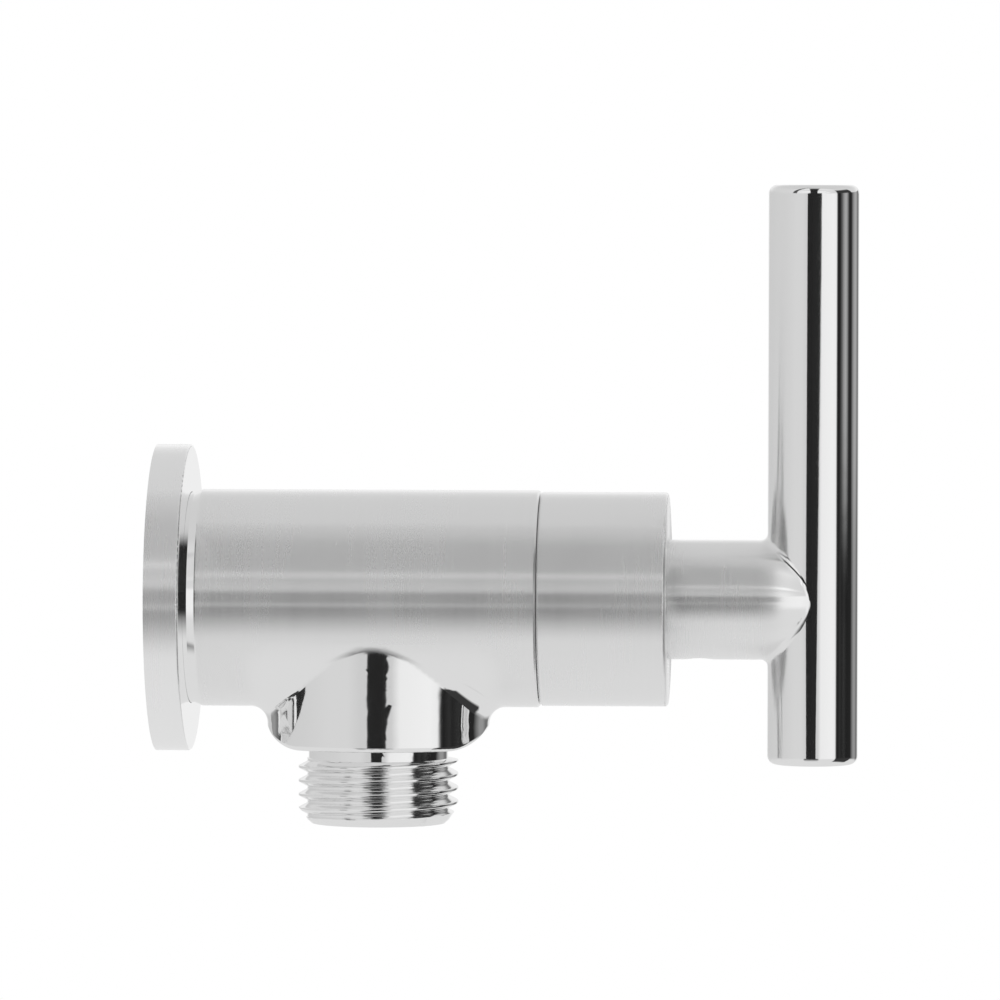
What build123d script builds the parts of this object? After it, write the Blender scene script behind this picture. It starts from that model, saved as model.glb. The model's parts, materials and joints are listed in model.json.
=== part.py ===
from build123d import *
import os
from math import cos, pi, radians, sin

os.makedirs("parts", exist_ok=True)

# Angle stop valve, quarter turn, G 1/2 inlet and outlet. Millimetres, +Z up.
# The origin is the centre of the wall flange's back face. +X runs out from the wall along the valve's
# axis to the lever, the hose outlet points down and the lever stands in its open position.

# G 1/2 pipe thread: inlet and outlet
pipe_pitch = 1.814
pipe_major_r = 10.4775
pipe_minor_r = 9.3155
pipe_land = 0.302  # flat on each crest and root
thread_clearance = 0.04  # a male thread's radius under its female thread's

# M20 x 1 thread that holds the headwork in the body; the radii of the valve's inside and outside
# follow from it
head_pitch = 1.0
head_major_r = 10.0
head_thread_depth = 0.47
head_land = 0.229
head_turns = 9

# fine thread between the body's spigot and the bonnet sleeve
sleeve_pitch = 1.0
sleeve_thread_depth = 0.54
sleeve_land = 0.19
sleeve_turns = 4

# gaps, and how far a cut or a hidden root runs past the face it meets
overrun = 1.0
fit_gap = 0.05  # between parts that stand in or drive one another
running_gap = 0.06  # radial, between parts that turn in one another

# wall flange
flange_r = 20.0
flange_depth = 4.45
flange_wall = 1.1
flange_edge = 0.3

# flange retaining ring, round in section, in a groove of the neck
retainer_section_r = 0.8
retainer_bite = 0.6  # how deep it sits in the neck
retainer_gap = 0.35  # from the flange's front plate

# valve body, outside
wall_gap = 0.4  # from the wall to the back of the body
neck_step = 0.4  # the neck's radius under the barrel's
neck_show = 0.55  # neck seen in front of the flange
barrel_cone = 1.0  # length of the cone from neck to barrel
seam_chamfer = 0.25
spigot_length = 4.5
spigot_wall = 1.16  # round the headwork's O-ring bore

# valve body, inlet side
inlet_turns = 6
inlet_mouth = 0.1  # the mouth's radius over the thread's
inlet_relief = 2.516
passage_r = 6.5
passage_length = 5.0
seat_r = 5.0
seat_length = 1.5

# outlet boss and nipple
outlet_offset = 7.4  # from the seat face to the outlet's axis
boss_half_length = 14.5
boss_side_step = 1.25  # the boss's half width under the barrel's radius
boss_stand = 5.25  # from the barrel's underside to the boss's lower face
boss_corner_r = 5.6
boss_corner_out = 0.7  # how far the rounded outline stands outside the boss
boss_edge_r = 0.6
boss_blend_r = 2.2
nipple_relief = 1.7
nipple_relief_depth = 0.2155  # under the thread's minor radius
outlet_turns = 4
nipple_tail = 0.99
nipple_chamfer = 0.8755
waterway_r = 6.0

# inlet gasket and strainer
gasket_height = 1.5
gasket_edge_gap = 0.2155  # under the thread's minor radius, so that it goes in
gasket_hole_gap = 0.1
sieve_sheet = 0.4
sieve_gap = 0.2
sieve_depth = 4.5
sieve_hole_r = 0.55
sieve_hole_step = 1.9  # from one ring of holes to the next
sieve_ring_count = 3

# ceramic disc headwork, from the seat outwards
chamber_step = 0.03  # the chamber's radius under the thread's
chamber_gap = 0.5  # round the cage
cage_wall = 0.7
cage_lip = 1.8
cage_lip_height = 0.7
cage_window_angle = 100
seal_height = 3.5
seal_edge_gap = 0.1
seal_hole_gap = 0.2
disc_height = 3.0
disc_gap = 0.05  # between the two lapped faces
moving_disc_step = 0.35  # the moving disc's radius under the fixed one's
port_rim = 2.25
port_core_r = 2.2
port_angle = 80
wing_angle = 96  # each solid half of the moving disc
tang_width = 2.4
tang_depth = 1.2
tang_length = 3.2
tang_rim = 1.5
carrier_height = 4.0
carrier_gap = 1.0  # from the carrier to the headwork's skirt
skirt_length = 5.0
head_bore_length = 4.5  # plain bore that the headwork's O-ring seals in
head_bore_step = 0.7  # the bore's radius over the thread's
head_land_gap = 0.1
head_ring_section = 1.8
head_groove_width = 2.2
hex_height = 6.0
hex_gap = 0.525  # from the hexagon's corners to the sleeve
hex_corner_cut = 0.65
stem_wall = 2.95
stem_length = 3.4

# quarter turn and its stop
turn_angle = 90
lug_angle = 24
lug_gap = 0.2  # from the lug to the counterbore
lug_length = 2.75
notch_depth = 2.0
stop_gap_angle = 3

# spindle
spindle_r = 4.0
tail_step = 0.4  # the tail's radius under the spindle's
tail_flat_step = 1.1  # from the tail's radius to each of its two flats
tail_length = 3.0  # how deep it reaches into the carrier
counterbore_depth = 4.55
counterbore_gap = 0.3  # round the spindle's flange
spindle_flange_step = 2.2
spindle_flange = 1.7
washer_height = 0.5
ring_groove_depth = 1.1
ring_groove_width = 1.5
ring_groove_steps = (4.5, 8.5)  # from the counterbore's floor to each O-ring
circlip_height = 0.55
circlip_step = 1.2
circlip_groove_depth = 0.7
circlip_opening = 3.2
spline_teeth = 20
spline_depth = 0.45
spline_length = 10.5

# bonnet sleeve and glide ring
sleeve_gap = 0.1  # seam between the barrel and the sleeve
sleeve_wall = 1.3
sleeve_bore_step = 0.25  # the bore's radius over the thread's
sleeve_step = 0.2  # the sleeve's radius under the barrel's
sleeve_front_wall = 2.5
sleeve_edge_r = 0.4
glide_ring_wall = 1.24
glide_ring_length = 1.2
glide_ring_set_back = 0.7

# lever handle
hub_wall = 1.45
hub_gap = 0.35  # between the hub and the sleeve's hole
hub_back_gap = 0.6  # from the headwork's stem to the hub
hub_entry = 2.2  # how deep the hub stands in the sleeve
lever_reach = 18.8  # from the sleeve's front to the bar's axis
hub_dome_length = 7.4  # rounded shoulder that runs in under the bar
hub_dome_sink = 0.3  # the shoulder's end radius under the bar's
bar_r = 5.88
bar_up = 54.0
bar_down = 21.4
bar_end_r = 1.1
bar_blend_r = 0.9
insert_wall = 2.3
insert_length = 11.0
insert_set_back = 0.4
socket_spare = 1.0
rib_count = 4
rib_width = 1.2
rib_height = 0.5
grub_r = 2.0
grub_step = 6.4  # from the hub's back to the screw's axis
grub_sink = 0.5  # how far it stands below the hub's surface
grub_chamfer = 0.3
grub_hex = 2.0
grub_hex_depth = 1.6
grub_groove_depth = 0.7
grub_groove_gap = 0.2  # from the screw to each side of its groove

# radii of the headwork and what it stands in, from the thread inwards and outwards
head_minor_r = head_major_r - head_thread_depth
chamber_r = head_minor_r - chamber_step
cage_r = chamber_r - chamber_gap
cage_bore_r = cage_r - cage_wall
cage_lip_r = cage_bore_r - cage_lip_height
disc_r = cage_bore_r - fit_gap
moving_disc_r = disc_r - moving_disc_step
head_bore_r = head_major_r + head_bore_step
head_land_r = head_bore_r - head_land_gap
head_groove_r = head_bore_r - head_ring_section
sleeve_minor_r = head_bore_r + spigot_wall
sleeve_major_r = sleeve_minor_r + sleeve_thread_depth
sleeve_bore_r = sleeve_major_r + sleeve_bore_step
sleeve_r = sleeve_bore_r + sleeve_wall
barrel_r = sleeve_r + sleeve_step
neck_r = barrel_r - neck_step
hex_corner_r = sleeve_bore_r - hex_gap

# radii of the spindle and the lever's hub
spindle_bore_r = spindle_r + fit_gap
spindle_flange_r = spindle_r + spindle_flange_step
counterbore_r = spindle_flange_r + counterbore_gap
tail_r = spindle_r - tail_step
insert_r = spindle_bore_r + insert_wall - fit_gap
socket_r = insert_r + fit_gap
hub_r = socket_r + hub_wall
hub_hole_r = hub_r + hub_gap
glide_ring_bore_r = hub_r + running_gap
glide_ring_r = glide_ring_bore_r + glide_ring_wall

# radii of the male pipe thread
thread_root_r = pipe_minor_r - thread_clearance
thread_crest_r = pipe_major_r - thread_clearance

# places along the valve's axis
neck_front = flange_depth + neck_show
cone_front = neck_front + barrel_cone
inlet_chamfer = pipe_major_r + inlet_mouth - pipe_minor_r
inlet_start = wall_gap + inlet_chamfer
gasket_seat = inlet_start + inlet_turns * pipe_pitch + inlet_relief
seat_x = gasket_seat + passage_length + seat_length
fixed_disc_x = seat_x + seal_height
moving_disc_x = fixed_disc_x + disc_height + disc_gap
carrier_x = moving_disc_x + disc_height
carrier_front = carrier_x + carrier_height
skirt_x = carrier_front + carrier_gap
shoulder_x = skirt_x + skirt_length
head_thread_end = shoulder_x + head_turns * head_pitch
spigot_front = head_thread_end + head_bore_length
barrel_front = spigot_front - spigot_length
hex_front = spigot_front + hex_height
stem_front = hex_front + stem_length
hub_x = stem_front + hub_back_gap
sleeve_back = barrel_front + sleeve_gap
sleeve_thread_x = sleeve_back + sleeve_pitch / 4
sleeve_front = hub_x + hub_entry
bar_x = sleeve_front + lever_reach
counterbore_floor = skirt_x + counterbore_depth
outlet_x = seat_x + outlet_offset
insert_x = hub_x + insert_set_back
grub_x = hub_x + grub_step

# heights of the outlet
boss_half_width = barrel_r - boss_side_step
boss_z = -barrel_r - boss_stand
thread_z = boss_z - nipple_relief
thread_end_z = thread_z - outlet_turns * pipe_pitch
outlet_z = thread_end_z - nipple_tail
outlet_axis = Axis((outlet_x, 0, 0), (0, 0, -1))


def thread_row(start, turns, pitch, root_r, crest_r, land):
    """Points (along, radius) of a row of thread ridges that starts and ends on the root."""
    flank = pitch / 2 - land
    row = []
    for turn in range(turns):
        foot = start + turn * pitch + land / 2
        row += [
            (foot, root_r),
            (foot + flank, crest_r),
            (foot + flank + land, crest_r),
            (foot + 2 * flank + land, root_r),
        ]
    return row


def turned(*points, mode=Mode.ADD):
    """Turns the closed outline through points (along, radius) about the valve's axis."""
    with BuildSketch(Plane.XZ) as outline:
        with BuildLine():
            Polyline(*points, close=True)
        make_face()
    revolve(outline.sketch, axis=Axis.X, mode=mode)


def bored(*points):
    """Cuts the closed outline through points (along, radius), turned about the valve's axis."""
    turned(*points, mode=Mode.SUBTRACT)


def tube(back, front, outer_r, inner_r):
    """A plain tube on the valve's axis."""
    turned((back, inner_r), (back, outer_r), (front, outer_r), (front, inner_r))


def sector(inner_r, outer_r, middle, width):
    """Draws a ring sector in the sketch that is open, middle and width in degrees."""
    first = middle - width / 2
    last = middle + width / 2
    with BuildLine() as outline:
        CenterArc((0, 0), inner_r, first, width)
        CenterArc((0, 0), outer_r, first, width)
        for angle in (first, last):
            corner = (inner_r * cos(radians(angle)), inner_r * sin(radians(angle)))
            PolarLine(corner, outer_r - inner_r, angle)
    make_face(outline.edges())


def serration(tip_r, root_r):
    """Draws the star outline of the 20-tooth serration in the sketch that is open."""
    step = pi / spline_teeth
    star = []
    for corner in range(2 * spline_teeth):
        radius = tip_r if corner % 2 == 0 else root_r
        star.append((radius * cos(corner * step), radius * sin(corner * step)))
    with BuildLine() as outline:
        Polyline(*star, close=True)
    make_face(outline.edges())


def round_ring(along, inner_r, outer_r):
    """A ring of round section on the valve's axis, its section between the two radii."""
    with BuildSketch(Plane.XZ) as section:
        with Locations((along, (inner_r + outer_r) / 2)):
            Circle((outer_r - inner_r) / 2)
    revolve(section.sketch, axis=Axis.X)


# ---- wall flange: a shallow cup, open to the wall, with the neck through its front plate
with BuildPart() as wall_flange:
    flange_hole_r = neck_r + running_gap
    plate_back = flange_depth - flange_wall
    turned(
        (0, flange_r - flange_wall),
        (0, flange_r),
        (flange_depth, flange_r),
        (flange_depth, flange_hole_r),
        (plate_back, flange_hole_r),
        (plate_back, flange_r - flange_wall),
    )
    rims = wall_flange.edges().filter_by(GeomType.CIRCLE).group_by(SortBy.RADIUS)[-1]
    front_rim = rims.sort_by(Axis.X)[-1]
    fillet(front_rim, radius=flange_edge)
wall_flange.part.label = "wall_flange"
export_step(wall_flange.part, "parts/wall_flange.step")

# ---- rubber ring on the neck, behind the flange's front plate
retainer_x = plate_back - retainer_gap - retainer_section_r
retainer_r = neck_r - retainer_bite + retainer_section_r
with BuildPart() as flange_retainer:
    round_ring(retainer_x, retainer_r - retainer_section_r, retainer_r + retainer_section_r)
flange_retainer.part.label = "flange_retaining_ring"
export_step(flange_retainer.part, "parts/flange_retaining_ring.step")

# ---- outlet boss: an oval block whose lower corners are rounded in side view
with BuildPart() as boss:
    with BuildSketch(Plane.XY.offset(boss_z)):
        with Locations((outlet_x, 0)):
            Ellipse(boss_half_length, boss_half_width)
    extrude(amount=-boss_z)
    with BuildSketch(Plane.XZ) as boss_outline:
        with Locations((outlet_x, 0)):
            Rectangle(2 * (boss_half_length + boss_corner_out), -2 * boss_z)
        fillet(boss_outline.vertices().group_by(Axis.Y)[0], radius=boss_corner_r)
    extrude(amount=2 * boss_half_width, both=True, mode=Mode.INTERSECT)
    boss_edges = boss.edges().filter_by(lambda edge: edge.center().Z < 0.6 * boss_z)
    fillet(boss_edges.filter_by(GeomType.LINE, reverse=True), radius=boss_edge_r)

# ---- valve body
with BuildPart() as valve_body:
    spigot_root_r = sleeve_minor_r - thread_clearance
    spigot_crest_r = sleeve_major_r - thread_clearance
    turned(
        (wall_gap, 0),
        (wall_gap, neck_r),
        (neck_front, neck_r),
        (cone_front, barrel_r),
        (barrel_front - seam_chamfer, barrel_r),
        (barrel_front, barrel_r - seam_chamfer),
        (barrel_front, spigot_root_r),
        *thread_row(
            sleeve_thread_x, sleeve_turns, sleeve_pitch, spigot_root_r, spigot_crest_r, sleeve_land
        ),
        (spigot_front, spigot_root_r),
        (spigot_front, 0),
    )
    add(boss.part)
    curved = valve_body.edges().filter_by(GeomType.BSPLINE)
    barrel_seam = curved.filter_by(
        lambda edge: edge.center().Z > -barrel_r and edge.length > 2 * barrel_r
    )
    # nipple
    relief_r = pipe_minor_r - nipple_relief_depth
    outlet_row = thread_row(
        0, outlet_turns, pipe_pitch, thread_root_r, thread_crest_r, pipe_land
    )
    with BuildSketch(Plane.XZ):
        with BuildLine():
            Polyline(
                (outlet_x, boss_z + overrun),
                (outlet_x + relief_r, boss_z + overrun),
                (outlet_x + relief_r, thread_z),
                *[(outlet_x + radius, thread_z - along) for along, radius in outlet_row],
                (outlet_x + thread_root_r, outlet_z + nipple_chamfer),
                (outlet_x + thread_root_r - nipple_chamfer, outlet_z),
                (outlet_x, outlet_z),
                close=True,
            )
        make_face()
    revolve(axis=outlet_axis)
    # inlet bore, gasket seat, passage and seat
    bored(
        (wall_gap, 0),
        (wall_gap, pipe_minor_r + inlet_chamfer),
        (inlet_start, pipe_minor_r),
        *thread_row(inlet_start, inlet_turns, pipe_pitch, pipe_minor_r, pipe_major_r, pipe_land),
        (gasket_seat - inlet_relief, pipe_minor_r),
        (gasket_seat - inlet_relief + inlet_chamfer, pipe_major_r),
        (gasket_seat, pipe_major_r),
        (gasket_seat, passage_r),
        (seat_x - seat_length, passage_r),
        (seat_x - seat_length, seat_r),
        (seat_x, seat_r),
        (seat_x, chamber_r),
        (shoulder_x, chamber_r),
        *thread_row(shoulder_x, head_turns, head_pitch, head_minor_r, head_major_r, head_land),
        (head_thread_end, head_bore_r),
        (spigot_front, head_bore_r),
        (spigot_front, 0),
    )
    # groove for the flange's retaining ring
    with BuildSketch(Plane.XZ):
        with Locations((retainer_x, retainer_r)):
            Circle(retainer_section_r)
    revolve(axis=Axis.X, mode=Mode.SUBTRACT)
    # waterway down to the hose
    with BuildSketch(Plane.XY.offset(outlet_z)):
        with Locations((outlet_x, 0)):
            Circle(waterway_r)
    extrude(amount=-outlet_z - seat_r, mode=Mode.SUBTRACT)
    fillet(barrel_seam, radius=boss_blend_r)
valve_body.part.label = "valve_body"
export_step(valve_body.part, "parts/valve_body.step")

# ---- inlet strainer: a flanged cup with a drilled floor
with BuildPart() as strainer:
    cup_floor = gasket_seat + sieve_depth
    sieve_r = passage_r - sieve_gap
    gasket_r = pipe_minor_r - gasket_edge_gap
    turned(
        (gasket_seat - sieve_sheet, sieve_r - sieve_sheet),
        (gasket_seat - sieve_sheet, gasket_r),
        (gasket_seat, gasket_r),
        (gasket_seat, sieve_r),
        (cup_floor, sieve_r),
        (cup_floor, 0),
        (cup_floor - sieve_sheet, 0),
        (cup_floor - sieve_sheet, sieve_r - sieve_sheet),
    )
    with BuildSketch(Plane.YZ.offset(cup_floor)):
        for ring in range(sieve_ring_count):
            with PolarLocations(ring * sieve_hole_step, max(1, 6 * ring)):
                Circle(sieve_hole_r)
    extrude(amount=-sieve_sheet, mode=Mode.SUBTRACT)
strainer.part.label = "inlet_strainer"
export_step(strainer.part, "parts/inlet_strainer.step")

# ---- inlet gasket, on the strainer's flange
with BuildPart() as gasket:
    gasket_front = gasket_seat - sieve_sheet
    tube(gasket_front - gasket_height, gasket_front, gasket_r, passage_r + gasket_hole_gap)
gasket.part.label = "inlet_gasket"
export_step(gasket.part, "parts/inlet_gasket.step")

# ---- seat seal, between the valve seat and the fixed disc
with BuildPart() as seat_seal:
    tube(seat_x, fixed_disc_x, cage_lip_r - seal_edge_gap, seat_r + seal_hole_gap)
seat_seal.part.label = "seat_seal"
export_step(seat_seal.part, "parts/seat_seal.step")

# ---- fixed ceramic disc, with two ports
with BuildPart() as fixed_disc:
    with BuildSketch(Plane.YZ.offset(fixed_disc_x)):
        Circle(disc_r)
    extrude(amount=disc_height)
    for middle in (90, 270):
        with BuildSketch(Plane.YZ.offset(fixed_disc_x)):
            sector(port_core_r, disc_r - port_rim, middle, port_angle)
        extrude(amount=disc_height, mode=Mode.SUBTRACT)
fixed_disc.part.label = "fixed_ceramic_disc"
export_step(fixed_disc.part, "parts/fixed_ceramic_disc.step")

# ---- moving ceramic disc: two wings that cover the ports after a quarter turn
tang_r = moving_disc_r - tang_rim - tang_length / 2
with BuildPart() as moving_disc:
    with BuildSketch(Plane.YZ.offset(moving_disc_x)):
        Circle(moving_disc_r)
    extrude(amount=disc_height)
    for middle in (90, 270):
        with BuildSketch(Plane.YZ.offset(moving_disc_x)):
            sector(port_core_r, moving_disc_r + overrun, middle, 180 - wing_angle)
        extrude(amount=disc_height, mode=Mode.SUBTRACT)
    with BuildSketch(Plane.YZ.offset(carrier_x)):
        for side in (-1, 1):
            with Locations((side * tang_r, 0)):
                Rectangle(tang_length, tang_width)
    extrude(amount=-tang_depth, mode=Mode.SUBTRACT)
moving_disc.part.label = "moving_ceramic_disc"
export_step(moving_disc.part, "parts/moving_ceramic_disc.step")

# ---- disc carrier: tangs into the moving disc, flats for the spindle, lug for the quarter-turn stop
notch_middle = 270
open_lug = notch_middle + turn_angle / 2
with BuildPart() as carrier:
    with BuildSketch(Plane.YZ.offset(carrier_x)):
        Circle(moving_disc_r)
    extrude(amount=carrier_height)
    with BuildSketch(Plane.YZ.offset(carrier_x)):
        for side in (-1, 1):
            with Locations((side * tang_r, 0)):
                Rectangle(tang_length - 2 * fit_gap, tang_width - 2 * fit_gap)
    extrude(amount=fit_gap - tang_depth)
    with BuildSketch(Plane.YZ.offset(carrier_front)):
        sector(counterbore_r + lug_gap, moving_disc_r, open_lug, lug_angle)
    extrude(amount=lug_length)
    with BuildSketch(Plane.YZ.offset(carrier_front)):
        Circle(tail_r + fit_gap)
        Rectangle(2 * moving_disc_r, 2 * (tail_r - tail_flat_step + fit_gap), mode=Mode.INTERSECT)
    extrude(amount=-tail_length - fit_gap, mode=Mode.SUBTRACT)
carrier.part.label = "disc_carrier"
export_step(carrier.part, "parts/disc_carrier.step")

# ---- disc cage: a sleeve round the discs with two side windows
with BuildPart() as cage:
    cage_x = fixed_disc_x - cage_lip
    turned(
        (cage_x, cage_lip_r),
        (cage_x, cage_r),
        (shoulder_x, cage_r),
        (shoulder_x, cage_bore_r),
        (fixed_disc_x, cage_bore_r),
        (fixed_disc_x, cage_lip_r),
    )
    for middle in (90, 270):
        with BuildSketch(Plane.YZ.offset(moving_disc_x)):
            sector(cage_lip_r, cage_r + overrun, middle, cage_window_angle)
        extrude(amount=carrier_front - moving_disc_x, mode=Mode.SUBTRACT)
cage.part.label = "disc_cage"
export_step(cage.part, "parts/disc_cage.step")

# ---- headwork body, screwed into the valve body
with BuildPart() as headwork:
    groove_middle = head_thread_end + head_bore_length / 2
    groove_back = groove_middle - head_groove_width / 2
    groove_front = groove_middle + head_groove_width / 2
    turned(
        (skirt_x, counterbore_r),
        (skirt_x, disc_r),
        (shoulder_x, disc_r),
        (shoulder_x, head_minor_r - thread_clearance),
        *thread_row(
            shoulder_x,
            head_turns,
            head_pitch,
            head_minor_r - thread_clearance,
            head_major_r - thread_clearance,
            head_land,
        ),
        (head_thread_end + fit_gap, head_land_r),
        (groove_back, head_land_r),
        (groove_back, head_groove_r),
        (groove_front, head_groove_r),
        (groove_front, head_land_r),
        (spigot_front, head_land_r),
        (spigot_front, spindle_bore_r + stem_wall),
        (stem_front, spindle_bore_r + stem_wall),
        (stem_front, spindle_bore_r),
        (counterbore_floor, spindle_bore_r),
        (counterbore_floor, counterbore_r),
    )
    with BuildSketch(Plane.YZ.offset(spigot_front)):
        RegularPolygon(hex_corner_r, 6)
        Circle(spindle_bore_r, mode=Mode.SUBTRACT)
    extrude(amount=hex_height)
    bored(
        (hex_front - hex_corner_cut / 2, hex_corner_r),
        (hex_front, hex_corner_r - hex_corner_cut),
        (hex_front, hex_corner_r),
    )
    with BuildSketch(Plane.YZ.offset(skirt_x)):
        sector(counterbore_r - lug_gap, cage_r, notch_middle, turn_angle + lug_angle + 2 * stop_gap_angle)
    extrude(amount=notch_depth, mode=Mode.SUBTRACT)
headwork.part.label = "headwork_body"
export_step(headwork.part, "parts/headwork_body.step")

# ---- O-ring between the headwork and the valve body
with BuildPart() as head_o_ring:
    round_ring(groove_middle, head_groove_r, head_bore_r)
head_o_ring.part.label = "headwork_o_ring"
export_step(head_o_ring.part, "parts/headwork_o_ring.step")

# ---- thrust washer under the counterbore's floor
with BuildPart() as washer:
    washer_front = counterbore_floor - fit_gap
    tube(washer_front - washer_height, washer_front, spindle_flange_r, spindle_bore_r + fit_gap)
washer.part.label = "thrust_washer"
export_step(washer.part, "parts/thrust_washer.step")

# ---- spindle, from the carrier to the lever
flange_front = washer_front - washer_height - fit_gap
ring_places = [counterbore_floor + step for step in ring_groove_steps]
ring_groove_r = spindle_r - ring_groove_depth
circlip_groove_r = spindle_r - circlip_groove_depth
grub_groove_r = spindle_r - grub_groove_depth
circlip_x = stem_front + fit_gap
spline_end = insert_x + spline_length
with BuildPart() as spindle:
    tail_x = carrier_front - tail_length
    neck_points = []
    for place in ring_places:
        neck_points += [
            (place - ring_groove_width / 2, spindle_r),
            (place - ring_groove_width / 2, ring_groove_r),
            (place + ring_groove_width / 2, ring_groove_r),
            (place + ring_groove_width / 2, spindle_r),
        ]
    turned(
        (tail_x, 0),
        (tail_x, tail_r),
        (flange_front - spindle_flange, tail_r),
        (flange_front - spindle_flange, spindle_flange_r),
        (flange_front, spindle_flange_r),
        (flange_front, spindle_r),
        *neck_points,
        (circlip_x, spindle_r),
        (circlip_x, circlip_groove_r),
        (circlip_x + circlip_height, circlip_groove_r),
        (circlip_x + circlip_height, 0),
    )
    with BuildSketch(Plane.YZ.offset(tail_x)):
        for side in (-1, 1):
            with Locations((0, side * (2 * tail_r - tail_flat_step))):
                Rectangle(4 * tail_r, 2 * tail_r)
    extrude(amount=tail_length, mode=Mode.SUBTRACT)
    with BuildSketch(Plane.YZ.offset(circlip_x + circlip_height)):
        serration(spindle_r, spindle_r - spline_depth)
    extrude(amount=spline_end - circlip_x - circlip_height)
    groove_half = grub_r + grub_groove_gap
    bored(
        (grub_x - groove_half, grub_groove_r),
        (grub_x - groove_half, spindle_r + overrun),
        (grub_x + groove_half, spindle_r + overrun),
        (grub_x + groove_half, grub_groove_r),
    )
spindle.part.label = "spindle"
export_step(spindle.part, "parts/spindle.step")

# ---- spindle O-rings
for name, place in zip(("lower_spindle_o_ring", "upper_spindle_o_ring"), ring_places):
    with BuildPart() as spindle_o_ring:
        round_ring(place, ring_groove_r, spindle_bore_r - fit_gap / 2)
    spindle_o_ring.part.label = name
    export_step(spindle_o_ring.part, f"parts/{name}.step")

# ---- circlip that keeps the spindle from sliding in
with BuildPart() as circlip:
    circlip_r = spindle_r + circlip_step
    tube(circlip_x, circlip_x + circlip_height, circlip_r, circlip_groove_r)
    with BuildSketch(Plane.YZ.offset(circlip_x)):
        with Locations((0, circlip_r)):
            Rectangle(circlip_opening, 2 * circlip_r)
    extrude(amount=circlip_height, mode=Mode.SUBTRACT)
circlip.part.label = "spindle_circlip"
export_step(circlip.part, "parts/spindle_circlip.step")

# ---- bonnet sleeve, screwed on the body's spigot over the headwork
glide_front = sleeve_front - glide_ring_set_back
with BuildPart() as sleeve:
    thread_front = sleeve_thread_x + sleeve_turns * sleeve_pitch
    wall_back = sleeve_front - sleeve_front_wall
    sleeve_row = thread_row(
        sleeve_thread_x, sleeve_turns, sleeve_pitch, sleeve_minor_r, sleeve_major_r, sleeve_land
    )
    turned(
        (sleeve_back, sleeve_minor_r),
        (sleeve_back, sleeve_r - seam_chamfer),
        (sleeve_back + seam_chamfer, sleeve_r),
        (sleeve_front, sleeve_r),
        (sleeve_front, hub_hole_r),
        (glide_front, hub_hole_r),
        (glide_front, glide_ring_r),
        (glide_front - glide_ring_length, glide_ring_r),
        (glide_front - glide_ring_length, hub_hole_r),
        (wall_back, hub_hole_r),
        (wall_back, sleeve_bore_r),
        (thread_front, sleeve_bore_r),
        *reversed(sleeve_row),
    )
    front_edges = sleeve.edges().filter_by(GeomType.CIRCLE).filter_by_position(
        Axis.X, sleeve_front - sleeve_edge_r / 2, sleeve_front + sleeve_edge_r
    )
    fillet(front_edges, radius=sleeve_edge_r)
sleeve.part.label = "bonnet_sleeve"
export_step(sleeve.part, "parts/bonnet_sleeve.step")

# ---- plastic ring that guides the hub in the sleeve
with BuildPart() as glide_ring:
    tube(glide_front - glide_ring_length, glide_front, glide_ring_r, glide_ring_bore_r)
glide_ring.part.label = "hub_glide_ring"
export_step(glide_ring.part, "parts/hub_glide_ring.step")

# ---- lever handle: hub and T-bar in one casting
with BuildPart() as lever:
    dome_start = (bar_x - hub_dome_length, hub_r)
    dome_end = (bar_x, bar_r - hub_dome_sink)
    with BuildSketch(Plane.XZ):
        with BuildLine():
            Polyline(dome_end, (bar_x, 0), (hub_x, 0), (hub_x, hub_r), dome_start)
            TangentArc(dome_start, dome_end, tangent=(1, 0))
        make_face()
    revolve(axis=Axis.X)
    with BuildSketch(Plane.XY.offset(-bar_down)):
        with Locations((bar_x, 0)):
            Circle(bar_r)
    extrude(amount=bar_down + bar_up)
    bar_ends = lever.edges().filter_by(GeomType.CIRCLE).filter_by(
        lambda edge: edge.center().Z > 0.9 * bar_up or edge.center().Z < -0.9 * bar_down
    )
    fillet(bar_ends, radius=bar_end_r)
    hub_seam = lever.edges().filter_by(GeomType.BSPLINE)
    fillet(hub_seam, radius=bar_blend_r)
    socket_end = insert_x + insert_length + socket_spare
    with BuildSketch(Plane.YZ.offset(hub_x)):
        Circle(socket_r)
        with PolarLocations(socket_r, rib_count, start_angle=45):
            Rectangle(2 * rib_height, rib_width + 2 * fit_gap)
    extrude(amount=socket_end - hub_x, mode=Mode.SUBTRACT)
    with BuildSketch(Plane.XY.offset(-hub_r)):
        with Locations((grub_x, 0)):
            Circle(grub_r)
    extrude(amount=hub_r, mode=Mode.SUBTRACT)
lever.part.label = "lever_handle"
export_step(lever.part, "parts/lever_handle.step")

# ---- spline insert in the hub
with BuildPart() as insert:
    with BuildSketch(Plane.YZ.offset(insert_x)):
        Circle(insert_r)
        with PolarLocations(insert_r, rib_count, start_angle=45):
            Rectangle(2 * rib_height, rib_width)
    extrude(amount=insert_length)
    with BuildSketch(Plane.YZ.offset(insert_x)):
        serration(spindle_bore_r, spindle_bore_r - spline_depth)
    extrude(amount=insert_length, mode=Mode.SUBTRACT)
    with BuildSketch(Plane.XY.offset(-insert_r)):
        with Locations((grub_x, 0)):
            Circle(grub_r + fit_gap)
    extrude(amount=insert_r, mode=Mode.SUBTRACT)
insert.part.label = "spline_insert"
export_step(insert.part, "parts/spline_insert.step")

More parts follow.
